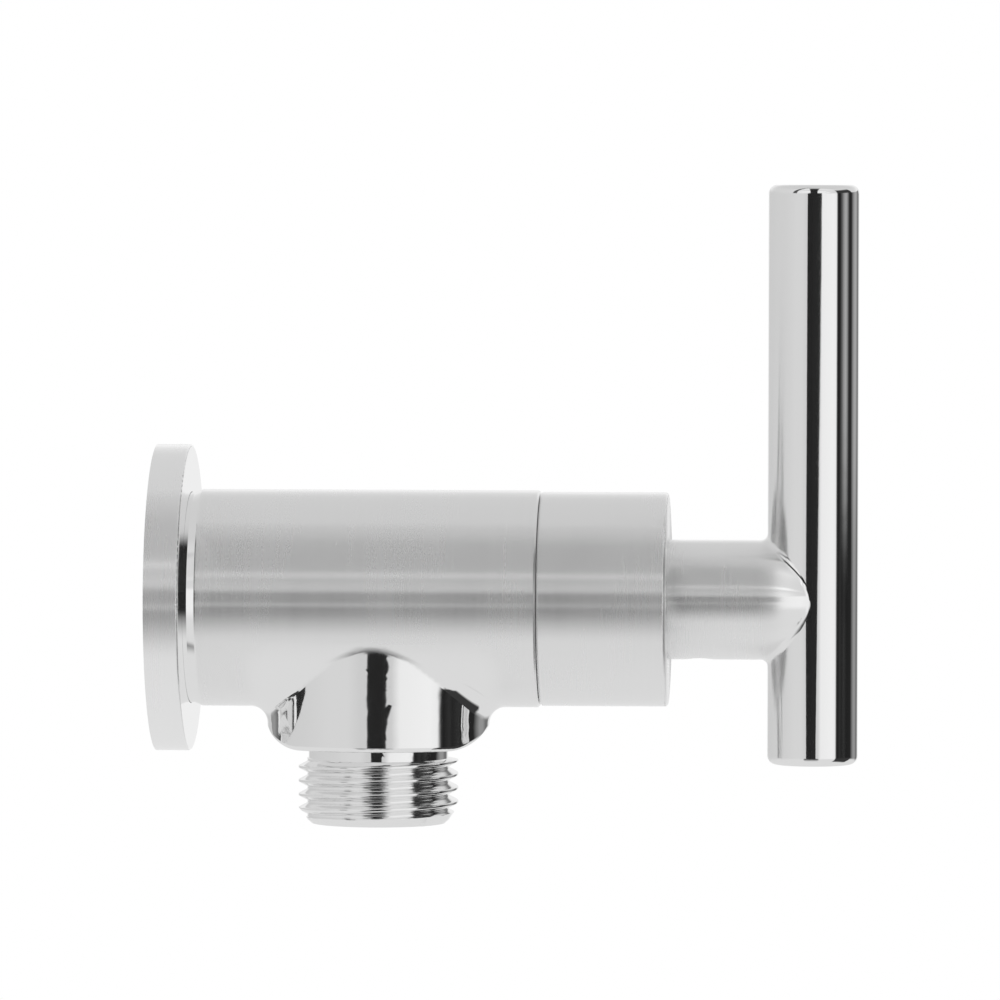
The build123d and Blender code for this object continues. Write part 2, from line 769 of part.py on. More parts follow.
# ---- grub screw, from under the hub onto the spindle
with BuildPart() as grub:
    screw_back = -hub_r + grub_sink
    with BuildSketch(Plane.XY.offset(screw_back)):
        with Locations((grub_x, 0)):
            Circle(grub_r)
    extrude(amount=-screw_back - grub_groove_r - fit_gap)
    chamfer(grub.edges().filter_by(GeomType.CIRCLE), length=grub_chamfer)
    with BuildSketch(Plane.XY.offset(screw_back)):
        with Locations((grub_x, 0)):
            RegularPolygon(grub_hex / 2, 6, major_radius=False)
    extrude(amount=grub_hex_depth, mode=Mode.SUBTRACT)
grub.part.label = "grub_screw"
export_step(grub.part, "parts/grub_screw.step")
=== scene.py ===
import json
import math

import bmesh
import bpy
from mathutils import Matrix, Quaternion, Vector

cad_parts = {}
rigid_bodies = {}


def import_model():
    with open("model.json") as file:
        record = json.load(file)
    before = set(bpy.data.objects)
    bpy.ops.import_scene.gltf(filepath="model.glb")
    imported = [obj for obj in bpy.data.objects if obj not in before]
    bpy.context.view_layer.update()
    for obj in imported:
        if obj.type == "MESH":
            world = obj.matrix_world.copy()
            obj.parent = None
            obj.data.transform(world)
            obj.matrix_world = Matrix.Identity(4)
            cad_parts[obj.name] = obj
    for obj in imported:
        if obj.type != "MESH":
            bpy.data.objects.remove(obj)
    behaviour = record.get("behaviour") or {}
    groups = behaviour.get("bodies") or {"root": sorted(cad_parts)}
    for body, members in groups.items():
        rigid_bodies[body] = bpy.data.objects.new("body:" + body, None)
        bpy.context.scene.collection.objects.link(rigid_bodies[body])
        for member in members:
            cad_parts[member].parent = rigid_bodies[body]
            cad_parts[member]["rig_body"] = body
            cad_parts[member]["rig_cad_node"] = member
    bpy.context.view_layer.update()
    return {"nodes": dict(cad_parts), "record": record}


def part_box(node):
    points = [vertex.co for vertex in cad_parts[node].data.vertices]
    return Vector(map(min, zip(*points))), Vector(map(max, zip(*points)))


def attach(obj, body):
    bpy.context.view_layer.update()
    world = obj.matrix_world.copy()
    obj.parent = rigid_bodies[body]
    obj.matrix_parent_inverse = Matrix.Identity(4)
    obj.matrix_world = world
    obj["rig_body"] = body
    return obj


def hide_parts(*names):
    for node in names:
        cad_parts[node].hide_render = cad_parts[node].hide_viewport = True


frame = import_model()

MM = 0.001
SAME_PLACE = 0.0005 * MM  # points this close together count as one

# ---------------------------------------------------------------- places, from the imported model
mounts = {m["name"]: m for m in frame["record"]["mounts"]}
OUTLET_X = mounts["hose_outlet"]["pos_m"][0]
CREST_R = mounts["hose_outlet"]["dims"]["r_mm"] * MM
NIPPLE_END_Z = mounts["outlet_seal_face"]["pos_m"][2]
_, body_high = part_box("valve_body")
_, lever_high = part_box("lever_handle")
BARREL_R = body_high.y
BAR_R = 5.88 * MM
BAR_X = lever_high.x - BAR_R  # the bar's axis

# outlet nipple, with a G 1/2 pipe thread
PITCH = 1.814 * MM
THREAD_DEPTH = 1.162 * MM
ROOT_R = CREST_R - THREAD_DEPTH
RELIEF_R = 9.1 * MM
WATERWAY_R = 6.0 * MM
BORE_EDGE = 0.25 * MM  # bevel where the waterway meets the end face
SPLIT_Z = -19.9 * MM  # the body is cut here, inside the relief
JOIN_GAP = 0.3 * MM  # left between body and nipple, and bridged
SHAPED_BELOW_Z = -20.6 * MM  # above this the nipple is a plain cylinder
CREST_AT_ZERO = -22.94 * MM  # height of a crest on the +X side
SECTORS = 192  # round the thread
PITCH_STEPS = 30  # along one pitch
TURNS = 8
SHARP_ANGLE = math.radians(30)


def deselect_all():
    bpy.ops.object.select_all(action="DESELECT")


def make_active(obj):
    deselect_all()
    obj.select_set(True)
    bpy.context.view_layer.objects.active = obj


# ---------------------------------------------------------------- node helpers
class Tree:
    """Adds and joins nodes in one node tree."""

    def __init__(self, tree):
        self.tree = tree

    def node(self, kind, **settings):
        made = self.tree.nodes.new(kind)
        for key, value in settings.items():
            setattr(made, key, value)
        return made

    def link(self, source, target):
        self.tree.links.new(source, target)

    def feed(self, socket, value):
        if isinstance(value, bpy.types.NodeSocket):
            self.link(value, socket)
        else:
            socket.default_value = value

    def math(self, operation, a, b=0.0):
        made = self.node("ShaderNodeMath", operation=operation)
        self.feed(made.inputs[0], a)
        self.feed(made.inputs[1], b)
        return made.outputs[0]

    def product(self, *values):
        result = values[0]
        for value in values[1:]:
            result = self.math("MULTIPLY", result, value)
        return result

    def vector(self, operation, a, b=(0.0, 0.0, 0.0), scale=1.0):
        made = self.node("ShaderNodeVectorMath", operation=operation)
        self.feed(made.inputs[0], a)
        self.feed(made.inputs[1], b)
        if operation == "SCALE":
            self.feed(made.inputs["Scale"], scale)
        return made.outputs["Value"] if operation in ("LENGTH", "DOT_PRODUCT") else made.outputs[0]

    def ease(self, value, low, high, to_low=0.0, to_high=1.0):
        """A soft step from to_low, where value is low, to to_high, where it is high."""
        made = self.node("ShaderNodeMapRange", interpolation_type="SMOOTHSTEP")
        for name, item in (
            ("Value", value), ("From Min", low), ("From Max", high), ("To Min", to_low), ("To Max", to_high)
        ):
            self.feed(made.inputs[name], item)
        return made.outputs["Result"]

    def window(self, value, opening, closing):
        """1 between two soft edges and 0 outside them; each edge is a (start, end) pair."""
        return self.product(self.ease(value, *opening), self.ease(value, closing[1], closing[0]))

    def xyz(self, vector):
        made = self.node("ShaderNodeSeparateXYZ")
        self.link(vector, made.inputs[0])
        return made.outputs

    def join(self, x, y, z):
        made = self.node("ShaderNodeCombineXYZ")
        for socket, value in zip(made.inputs, (x, y, z)):
            self.feed(socket, value)
        return made.outputs[0]

    def from_x_axis(self, position):
        """The distance from the valve's main axis."""
        x, y, z = self.xyz(position)
        return self.vector("LENGTH", self.join(0.0, y, z))

    def noise(self, vector, scale, detail, roughness):
        made = self.node("ShaderNodeTexNoise")
        for name, value in (
            ("Vector", vector), ("Scale", scale), ("Detail", detail), ("Roughness", roughness)
        ):
            self.feed(made.inputs[name], value)
        return made.outputs["Fac"]

    def ramp(self, value, stops):
        """Greys by place, from (place, level) stops."""
        made = self.node("ShaderNodeValToRGB")
        elements = made.color_ramp.elements
        while len(elements) < len(stops):
            elements.new(0.5)
        for element, (place, level) in zip(elements, stops):
            element.position = place
            element.color = grey(level)
        self.feed(made.inputs["Fac"], value)
        return made.outputs["Color"]

    def mix_colour(self, factor, a, b):
        made = self.node("ShaderNodeMix", data_type="RGBA")
        factor_input, a_input, b_input = made.inputs[0], made.inputs[6], made.inputs[7]  # the colour sockets
        self.feed(factor_input, factor)
        self.feed(a_input, a)
        self.feed(b_input, b)
        return made.outputs[2]

    def bump(self, height, strength, distance, shader):
        """Raises the shader's surface by height times distance."""
        made = self.node("ShaderNodeBump")
        made.inputs["Strength"].default_value = strength
        made.inputs["Distance"].default_value = distance
        self.link(height, made.inputs["Height"])
        self.link(made.outputs["Normal"], shader.inputs["Normal"])


def grey(level):
    return (level, level, level, 1.0)


def new_group(name, inputs, outputs):
    """A shader node group: inputs as (name, type, start value), outputs as (name, type)."""
    tree = bpy.data.node_groups.new(name, "ShaderNodeTree")
    for label, kind, start in inputs:
        socket = tree.interface.new_socket(name=label, in_out="INPUT", socket_type=kind)
        if start is not None:
            socket.default_value = start
    for label, kind in outputs:
        tree.interface.new_socket(name=label, in_out="OUTPUT", socket_type=kind)
    t = Tree(tree)
    return t, t.node("NodeGroupInput").outputs, t.node("NodeGroupOutput").inputs


# ---------------------------------------------------------------- finishes shared by several materials
def lathe_marks_group():
    """Marks that a lathe leaves in rings round the X axis: their height and how much they dull the metal."""
    t, given, result = new_group(
        "lathe_marks",
        [
            ("Position", "NodeSocketVector", None),
            ("Marks Per Metre", "NodeSocketFloat", 2500.0),
            ("Haze Scale", "NodeSocketFloat", 90.0),
        ],
        [("Height", "NodeSocketFloat"), ("Dulling", "NodeSocketFloat"), ("Shade", "NodeSocketFloat")],
    )
    x, y, z = t.xyz(given["Position"])
    from_axis = t.from_x_axis(given["Position"])
    density = given["Marks Per Metre"]
    along = t.math("ADD", t.product(x, density), t.product(from_axis, density))
    round_axis = t.vector("SCALE", t.join(0.0, y, z), scale=40.0)
    ring_place = t.vector("ADD", t.join(along, 0.0, 0.0), round_axis)
    fine = t.noise(ring_place, 1.0, 4.0, 0.65)
    haze_place = t.vector("MULTIPLY", given["Position"], (1.0, 0.45, 0.45))
    broad = t.noise(haze_place, given["Haze Scale"], 3.0, 0.55)
    t.link(fine, result["Height"])
    t.link(t.math("ADD", t.product(fine, 0.35), t.product(broad, 0.65)), result["Dulling"])
    t.link(t.product(t.math("ADD", fine, broad), 0.5), result["Shade"])
    return t.tree


def polish_waves_group():
    """The slight waves that buffing leaves in bright plate, and faint wipe marks."""
    t, given, result = new_group(
        "polish_waves",
        [("Position", "NodeSocketVector", None), ("Wave Scale", "NodeSocketFloat", 130.0)],
        [("Height", "NodeSocketFloat"), ("Dulling", "NodeSocketFloat")],
    )
    waves = t.noise(given["Position"], given["Wave Scale"], 2.0, 0.4)
    wipes = t.noise(t.vector("MULTIPLY", given["Position"], (6.0, 6.0, 1.0)), 260.0, 4.0, 0.7)
    t.link(waves, result["Height"])
    t.link(t.ease(wipes, 0.55, 0.85), result["Dulling"])
    return t.tree


def moulded_grain_group():
    """The fine dimpled skin of a moulded or sintered part, with slow changes of shade."""
    t, given, result = new_group(
        "moulded_grain",
        [("Position", "NodeSocketVector", None), ("Grain Scale", "NodeSocketFloat", 2500.0)],
        [("Height", "NodeSocketFloat"), ("Shade", "NodeSocketFloat")],
    )
    grain = t.noise(given["Position"], given["Grain Scale"], 3.0, 0.6)
    shade = t.noise(given["Position"], 160.0, 2.0, 0.5)
    t.link(grain, result["Height"])
    t.link(t.math("ADD", t.product(grain, 0.3), t.product(shade, 0.7)), result["Shade"])
    return t.tree


LATHE_MARKS = lathe_marks_group()
POLISH_WAVES = polish_waves_group()
MOULDED_GRAIN = moulded_grain_group()


def place_group(t, tree, **values):
    made = t.node("ShaderNodeGroup", node_tree=tree)
    for name, value in values.items():
        t.feed(made.inputs[name.replace("_", " ")], value)
    return made.outputs


def plain_material(name):
    """A new material and its shader."""
    material = bpy.data.materials.new(name)
    material.use_nodes = True
    shader = next(n for n in material.node_tree.nodes if n.type == "BSDF_PRINCIPLED")
    return material, shader


def new_material(name):
    """A new material with its tree, its shader and the place on the piece."""
    material, shader = plain_material(name)
    t = Tree(material.node_tree)
    position = t.node("ShaderNodeTexCoord").outputs["Object"]
    return material, t, shader, position


def tangent_across_marks(t, position):
    """The direction across the lathe's rings, in which they spread a reflection."""
    x, y, z = t.xyz(position)
    ring = t.vector("NORMALIZE", t.join(0.0, t.product(z, -1.0), y))
    turned = t.node(
        "ShaderNodeVectorTransform", vector_type="VECTOR", convert_from="OBJECT", convert_to="WORLD")
    t.link(ring, turned.inputs[0])
    normal = t.node("ShaderNodeNewGeometry").outputs["Normal"]
    return t.vector("NORMALIZE", t.vector("CROSS_PRODUCT", turned.outputs[0], normal))


def chrome(name, turned_share, level=0.93, thread_haze=0.0):
    """Chrome plate, turned satin where turned_share is 1 and polished bright where it is 0.

    level is the plate's brightness, raised on the flange as a painted highlight, and thread_haze the
    roughness that the cut thread adds.
    """
    satin, bright = 0.21, 0.035  # roughness of each finish before its marks
    wave_height = 0.008 * MM
    mark_height = 0.007  # of wave_height
    shade_swing = 0.3  # from level, at either end of the ramp

    material, t, shader, position = new_material(name)
    share = turned_share(t, position)
    marks = place_group(t, LATHE_MARKS, Position=position)
    waves = place_group(t, POLISH_WAVES, Position=position)

    satin_roughness = t.math("ADD", satin, t.product(marks["Dulling"], 0.12))
    bright_roughness = t.math("ADD", bright, t.product(waves["Dulling"], 0.03))
    added = t.product(share, t.math("SUBTRACT", satin_roughness, bright_roughness))
    roughness = t.math("ADD", bright_roughness, added)
    if thread_haze:
        on_thread = t.ease(t.xyz(position)[2], -20.9 * MM, -21.6 * MM)
        roughness = t.math("ADD", roughness, t.product(on_thread, thread_haze))
    t.link(roughness, shader.inputs["Roughness"])

    tint = t.math("ADD", 0.44, t.product(marks["Shade"], 0.12))
    place = t.math("ADD", t.product(share, t.math("SUBTRACT", tint, 0.5)), 0.5)
    colour = t.ramp(place, [(0.0, level - shade_swing), (1.0, level + shade_swing)])
    t.link(colour, shader.inputs["Base Color"])

    mark_bump = t.product(marks["Height"], share, mark_height)
    wave_bump = t.product(waves["Height"], t.math("SUBTRACT", 1.0, share))
    t.bump(t.math("ADD", mark_bump, wave_bump), 1.0, wave_height, shader)

    shader.inputs["Metallic"].default_value = 1.0
    shader.inputs["Anisotropic"].default_value = 1.0
    t.link(tangent_across_marks(t, position), shader.inputs["Tangent"])
    return material


def all_turned(t, position):
    return 1.0


def rim_turned(t, position):
    """Turned on the flange's rim, bright on its front face."""
    bright_to, turned_from = 19.65 * MM, 19.9 * MM  # from the axis
    return t.ease(t.from_x_axis(position), bright_to, turned_from)


def barrel_turned(t, position):
    """Turned on the barrel, bright on the outlet boss and below, and on the neck."""
    x, y, z = t.xyz(position)
    off_barrel = t.ease(t.from_x_axis(position), BARREL_R - 0.05 * MM, BARREL_R + 0.45 * MM)
    low_down = t.ease(z, -4.5 * MM, -10.5 * MM)
    near_outlet = t.ease(t.math("ABSOLUTE", t.math("SUBTRACT", x, OUTLET_X)), 17.5 * MM, 13.0 * MM)
    on_boss = t.math("MAXIMUM", off_barrel, t.product(low_down, near_outlet))
    on_neck = t.ease(x, 6.3 * MM, 5.9 * MM)
    return t.math("SUBTRACT", 1.0, t.math("MAXIMUM", on_boss, on_neck))


def hub_turned(t, position):
    """Turned on the hub, bright on the bar."""
    bright_from, turned_to = BAR_X - 1.5 * MM, BAR_X - 6.5 * MM
    return t.ease(t.xyz(position)[0], bright_from, turned_to)


def metal(name, colour, dark, roughness):
    """A machined metal with lathe rings and slow changes of tone."""
    material, t, shader, position = new_material(name)
    marks = place_group(t, LATHE_MARKS, Position=position, Marks_Per_Metre=1500.0)
    t.link(t.mix_colour(marks["Shade"], (*dark, 1.0), (*colour, 1.0)), shader.inputs["Base Color"])
    t.link(t.math("ADD", roughness, t.product(marks["Dulling"], 0.18)), shader.inputs["Roughness"])
    t.bump(marks["Height"], 0.6, 0.02 * MM, shader)
    shader.inputs["Metallic"].default_value = 1.0
    return material


def moulding(name, colour, dark, roughness, grain_scale, grain_height, coat=0.0):
    """Rubber, plastic or ceramic with a fine skin."""
    material, t, shader, position = new_material(name)
    grain = place_group(t, MOULDED_GRAIN, Position=position, Grain_Scale=grain_scale)
    t.link(t.mix_colour(grain["Shade"], (*dark, 1.0), (*colour, 1.0)), shader.inputs["Base Color"])
    t.link(t.math("ADD", roughness, t.product(grain["Height"], 0.12)), shader.inputs["Roughness"])
    t.bump(grain["Height"], 0.7, grain_height, shader)
    shader.inputs["Coat Weight"].default_value = coat
    return material


turned_chrome = chrome("turned_chrome", all_turned)
# Brighter plate than the other chrome: a painted highlight that lightens the flange's rim and face.
flange_chrome = chrome("flange_chrome", rim_turned, level=1.0)
body_chrome = chrome("body_chrome", barrel_turned, thread_haze=0.05)
lever_chrome = chrome("lever_chrome", hub_turned)
stainless = metal("stainless_steel", (0.68, 0.68, 0.69), (0.50, 0.50, 0.51), 0.22)
machined_brass = metal("machined_brass", (0.86, 0.68, 0.34), (0.70, 0.52, 0.24), 0.20)
black_rubber = moulding(
    "black_rubber", (0.030, 0.030, 0.031), (0.016, 0.016, 0.017),
    roughness=0.58, grain_scale=1800.0, grain_height=0.03 * MM)
white_acetal = moulding(
    "white_acetal", (0.88, 0.88, 0.86), (0.78, 0.78, 0.75),
    roughness=0.36, grain_scale=2400.0, grain_height=0.01 * MM)
lapped_ceramic = moulding(
    "lapped_ceramic", (0.94, 0.93, 0.90), (0.87, 0.86, 0.82),
    roughness=0.14, grain_scale=5200.0, grain_height=0.002 * MM, coat=0.4)

NODES_BY_FINISH = (
    (flange_chrome, ("wall_flange",)),
    (turned_chrome, ("bonnet_sleeve",)),
    (body_chrome, ("valve_body",)),
    (lever_chrome, ("lever_handle",)),
    (machined_brass, ("headwork_body", "spindle")),
    (stainless, ("inlet_strainer", "spindle_circlip", "grub_screw")),
    (black_rubber, ("flange_retaining_ring", "inlet_gasket", "seat_seal", "headwork_o_ring",
                    "lower_spindle_o_ring", "upper_spindle_o_ring")),
    (white_acetal, ("disc_cage", "disc_carrier", "thrust_washer", "hub_glide_ring", "spline_insert")),
    (lapped_ceramic, ("fixed_ceramic_disc", "moving_ceramic_disc")),
)
for finish, node_names in NODES_BY_FINISH:
    for node_name in node_names:
        for material_slot in frame["nodes"][node_name].material_slots:
            material_slot.material = finish

# ---------------------------------------------------------------- valve body with a cut pipe thread
BLANK_OUTLINE = (  # heights and radii in mm
    (-20.85, RELIEF_R / MM),  # foot of the relief
    (-21.1, CREST_R / MM),  # start of the thread
    (-27.35, CREST_R / MM),  # start of the rounded end
    (-28.25, 9.66),
    (-28.9, 9.25),
    (NIPPLE_END_Z / MM, 8.75),
)


def thread_radius(height):
    """Radius of the thread on the +X side: straight flanks, with rounded crests and roots."""
    flank_to, round_to = 0.75, 1.25  # swing where a flank ends, and where the radius stops changing
    turn = (height - CREST_AT_ZERO) / PITCH
    swing = (0.5 - abs(2 * (turn - math.floor(turn + 0.5)))) * 3.0
    size = min(abs(swing), round_to)
    if size > flank_to:
        size = 1.0 - (round_to - size) ** 2
    return (CREST_R + ROOT_R) / 2 + math.copysign(size, swing) * THREAD_DEPTH / 2


def blank_radius(height):
    """Radius of the turned blank: relief, run-in, thread and rounded end."""
    height /= MM
    rounding = 1e-6
    if height >= BLANK_OUTLINE[0][0]:
        return BLANK_OUTLINE[0][1] * MM
    for (z_above, r_above), (z_below, r_below) in zip(BLANK_OUTLINE, BLANK_OUTLINE[1:]):
        if height >= z_below - rounding:
            share = (z_above - height) / (z_above - z_below)
            return (r_above + share * (r_below - r_above)) * MM
    return BLANK_OUTLINE[-1][1] * MM


def cut_across(z, drop=None):
    """Cuts the mesh in edit mode level at z, and drops the part "above" or "below" when told to."""
    bpy.ops.mesh.select_all(action="SELECT")
    bpy.ops.mesh.bisect(
        plane_co=(OUTLET_X, 0, z), plane_no=(0, 0, -1 if drop == "below" else 1),
        clear_outer=drop is not None, threshold=SAME_PLACE)


def select_open_edges(edit, test):
    """Selects the open edges whose ends both pass the test."""
    for edge in edit.edges:
        edge.select = len(edge.link_faces) == 1 and all(test(v.co) for v in edge.verts)


def thread_strip():
    """One pitch of the thread's outline, extruded point by point and screwed down the nipple's axis."""
    deselect_all()
    start_z = NIPPLE_END_Z - 1.3 * PITCH
    step = PITCH / PITCH_STEPS
    first = Vector((thread_radius(start_z), 0, start_z))
    bpy.ops.mesh.primitive_plane_add(size=MM, location=(OUTLET_X, 0, 0))
    strip = bpy.context.object
    strip.name = strip.data.name = "nipple_thread"
    bpy.ops.object.mode_set(mode="EDIT")
    bpy.ops.mesh.select_mode(type="VERT")
    bpy.ops.mesh.select_all(action="SELECT")
    bpy.ops.mesh.merge(type="CENTER")
    bpy.ops.transform.translate(value=first)
    last_r = first.x
    for place in range(1, PITCH_STEPS + 1):
        height = start_z + place * step
        radius = thread_radius(height)
        bpy.ops.mesh.extrude_vertices_move(TRANSFORM_OT_translate={"value": (radius - last_r, 0, step)})
        last_r = radius
    bpy.ops.object.mode_set(mode="OBJECT")
    screw = strip.modifiers.new("thread", "SCREW")
    screw.axis = "Z"
    screw.angle = 2 * math.pi
    screw.screw_offset = PITCH
    screw.iterations = TURNS
    screw.steps = screw.render_steps = SECTORS
    screw.use_merge_vertices = False
    bpy.ops.object.modifier_apply(modifier=screw.name)
    bpy.ops.object.transform_apply(location=True, rotation=True, scale=True)
    return strip


def trim_to_blank(mesh):
    """Pulls the thread's strip in to the outline of the blank it is cut from."""
    edit = bmesh.from_edit_mesh(mesh)
    for vertex in edit.verts:
        across = Vector((vertex.co.x - OUTLET_X, vertex.co.y))
        radius = blank_radius(vertex.co.z)
        if vertex.co.z < SHAPED_BELOW_Z:
            radius = min(radius, max(across.length, RELIEF_R))
        across = across.normalized() * radius
        vertex.co.x = OUTLET_X + across.x
        vertex.co.y = across.y
    bmesh.update_edit_mesh(mesh)


def narrow_to(radius, from_radius):
    """Shrinks the selected ring at the nipple's end round its axis."""
    share = radius / from_radius
    bpy.ops.transform.resize(value=(share, share, 1), center_override=(OUTLET_X, 0, NIPPLE_END_Z))


def nipple_mesh():
    """The nipple's outside, end face and waterway, open at the top."""
    nipple = thread_strip()
    top = SPLIT_Z - JOIN_GAP
    bpy.ops.object.mode_set(mode="EDIT")
    bpy.ops.mesh.select_all(action="SELECT")
    bpy.ops.mesh.remove_doubles(threshold=0.004 * MM)
    for height, _ in BLANK_OUTLINE[:-1]:
        cut_across(height * MM)
    trim_to_blank(nipple.data)
    cut_across(top, drop="above")
    cut_across(NIPPLE_END_Z, drop="below")
    bpy.ops.mesh.select_mode(type="EDGE")
    edit = bmesh.from_edit_mesh(nipple.data)
    select_open_edges(edit, lambda place: place.z < NIPPLE_END_Z + 0.01 * MM)
    bmesh.update_edit_mesh(nipple.data)
    bpy.ops.mesh.extrude_edges_move()
    narrow_to(WATERWAY_R + BORE_EDGE, blank_radius(NIPPLE_END_Z))
    bpy.ops.mesh.extrude_edges_move(TRANSFORM_OT_translate={"value": (0, 0, BORE_EDGE)})
    narrow_to(WATERWAY_R, WATERWAY_R + BORE_EDGE)
    bpy.ops.mesh.extrude_edges_move(TRANSFORM_OT_translate={"value": (0, 0, top - NIPPLE_END_Z - BORE_EDGE)})
    bpy.ops.object.mode_set(mode="OBJECT")
    return nipple


def body_copy():
    """A merged copy of the body, cut open through the nipple's relief."""
    source = frame["nodes"]["valve_body"]
    body = source.copy()
    body.data = source.data.copy()
    body.name = body.data.name = "valve_body_threaded"
    body.parent = None
    for key in ("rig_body", "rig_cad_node"):  # the copy is a piece of its own, not the CAD node
        if key in body:
            del body[key]
    bpy.context.scene.collection.objects.link(body)
    make_active(body)
    keep_directions(body.data)
    bpy.ops.mesh.customdata_custom_splitnormals_clear()
    bpy.ops.object.mode_set(mode="EDIT")
    bpy.ops.mesh.select_mode(type="VERT")
    bpy.ops.mesh.select_all(action="SELECT")
    bpy.ops.mesh.remove_doubles(threshold=SAME_PLACE)
    cut_across(SPLIT_Z, drop="below")
    bpy.ops.object.mode_set(mode="OBJECT")
    return body


def keep_directions(mesh):
    """Stores the surface direction at each corner, so that it outlives the edits."""
    values = [0.0] * (3 * len(mesh.loops))
    mesh.corner_normals.foreach_get("vector", values)
    store = mesh.attributes.new("cast_direction", "FLOAT_VECTOR", "CORNER")
    store.data.foreach_set("vector", values)


def restore_directions(mesh):
    """Puts the stored directions back above the joint; a zero leaves the corner as it is."""
    store = mesh.attributes["cast_direction"]
    above_joint = SPLIT_Z + 0.05 * MM
    kept = [
        item.vector.normalized() if mesh.vertices[loop.vertex_index].co.z > above_joint else Vector()
        for item, loop in zip(store.data, mesh.loops)
    ]
    mesh.attributes.remove(store)
    mesh.normals_split_custom_set(kept)


def threaded_body():
    """The body with its nipple replaced by one with a cut thread, in one closed mesh."""
    nipple = nipple_mesh()
    body = body_copy()
    make_active(body)
    nipple.select_set(True)
    bpy.ops.object.join()
    bpy.ops.object.mode_set(mode="EDIT")
    bpy.ops.mesh.select_mode(type="EDGE")
    middle_r = (RELIEF_R + WATERWAY_R) / 2
    for outside in (True, False):
        bpy.ops.mesh.select_all(action="DESELECT")
        edit = bmesh.from_edit_mesh(body.data)
        select_open_edges(
            edit, lambda place: (math.hypot(place.x - OUTLET_X, place.y) > middle_r) == outside)
        bmesh.update_edit_mesh(body.data)
        bpy.ops.mesh.bridge_edge_loops()
    bpy.ops.mesh.select_all(action="SELECT")
    bpy.ops.mesh.normals_make_consistent(inside=False)
    bpy.ops.object.mode_set(mode="OBJECT")
    body.data.materials.clear()
    body.data.materials.append(body_chrome)
    for face in body.data.polygons:
        face.material_index = 0
    make_active(body)
    bpy.ops.object.shade_smooth_by_angle(angle=SHARP_ANGLE)
    restore_directions(body.data)
    return body


body = threaded_body()
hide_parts("valve_body")
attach(body, "valve")

# ---------------------------------------------------------------- floor, light and camera
SUBJECT = Vector((44.8, 0.0, 12.87)) * MM  # the camera's aim
CAMERA_PLACE = (0.107, -1.098, 0.057)
CAMERA_LENS = 303.9
CAMERA_ROLL = math.radians(0.1)
FLOOR_Z = -0.16
FLOOR_R = 0.62
FLAG_Y = -0.457
FLAG_CORNERS = ((-38, 62), (75, 62), (75, -66), (-36, -66))  # X and Z in mm


def pale_floor():
    deselect_all()
    bpy.ops.mesh.primitive_circle_add(
        vertices=96, radius=FLOOR_R, fill_type="NGON", location=(0.045, 0, FLOOR_Z))
    floor = bpy.context.object
    floor.name = "studio_floor"
    material, shader = plain_material("pale_floor")
    shader.inputs["Base Color"].default_value = grey(0.92)
    shader.inputs["Roughness"].default_value = 0.9
    shader.inputs["Emission Color"].default_value = grey(1.0)
    shader.inputs["Emission Strength"].default_value = 0.33
    floor.data.materials.append(material)
    floor.visible_glossy = False
    floor.visible_shadow = False


def black_flag():
    """A black cloth panel in front of the valve that puts the dark line into the bright plate."""
    mesh = bpy.data.meshes.new("black_flag")
    corners = [(x * MM, FLAG_Y, z * MM) for x, z in FLAG_CORNERS]
    mesh.from_pydata(corners, [], [list(range(len(corners)))])
    flag = bpy.data.objects.new("black_flag", mesh)
    bpy.context.scene.collection.objects.link(flag)
    material, shader = plain_material("black_cloth")
    shader.inputs["Base Color"].default_value = grey(0.012)
    shader.inputs["Roughness"].default_value = 1.0
    mesh.materials.append(material)
    flag.visible_camera = False
    flag.visible_shadow = False


# Light panels as (degrees, level). The front panels go round the upright axis, with 0 in front and
# 90 at the right, and the overhead panels go over the top, with 0 in front and 90 straight above.
FRONT_PANELS = (
    (-180, 0.88), (-166, 0.80), (-154, 0.60), (-114, 0.64), (-75, 0.66), (-45, 0.70), (-26, 0.70),
    (-15, 0.64), (14, 0.64), (22, 0.88), (52, 0.92), (61, 0.88), (64, 0.06), (67, 0.012), (73, 0.025),
    (79, 0.13), (84, 0.30), (91, 0.42), (97, 0.25), (102, 0.04), (108, 0.016), (114, 0.04), (119, 0.20),
    (126, 0.34), (134, 0.42), (142, 0.32), (149, 0.18), (157, 0.20), (163, 0.80), (180, 0.88),
)
LOW_RIGHT_PANELS = (  # without the light strip at the right
    (-180, 0.88), (61, 0.88), (64, 0.06), (67, 0.014), (75, 0.03), (80, 0.018), (88, 0.03), (96, 0.016),
    (114, 0.02), (121, 0.16), (129, 0.30), (138, 0.30), (148, 0.16), (157, 0.20), (163, 0.80), (180, 0.88),
)
OVERHEAD_PANELS = (
    (-180, 0.78), (-90, 0.73), (0, 0.50), (5, 0.52), (15, 0.53), (19, 0.50), (21.5, 0.455), (24, 0.455),
    (26, 0.64), (29, 0.64), (31.5, 0.45), (41, 0.445), (50, 0.455), (59, 0.48), (69, 0.53), (77, 0.59),
    (90, 0.64), (140, 0.66), (154, 0.74), (165, 0.88), (180, 0.88),
)
DARK_ROOM = grey(0.022)
SIDE_ROOM = grey(0.04)
BLACK_STRIP = grey(0.03)
OVERHEAD_SIDES = grey(0.70)
FLOOR_BOUNCE = grey(0.745)


def round_ramp(t, degrees, panels):
    """The level of the panels at an angle from -180 to 180 degrees."""
    place = t.math("ADD", t.math("DIVIDE", degrees, 360.0), 0.5)
    return t.ramp(place, [((angle + 180.0) / 360.0, level) for angle, level in panels])


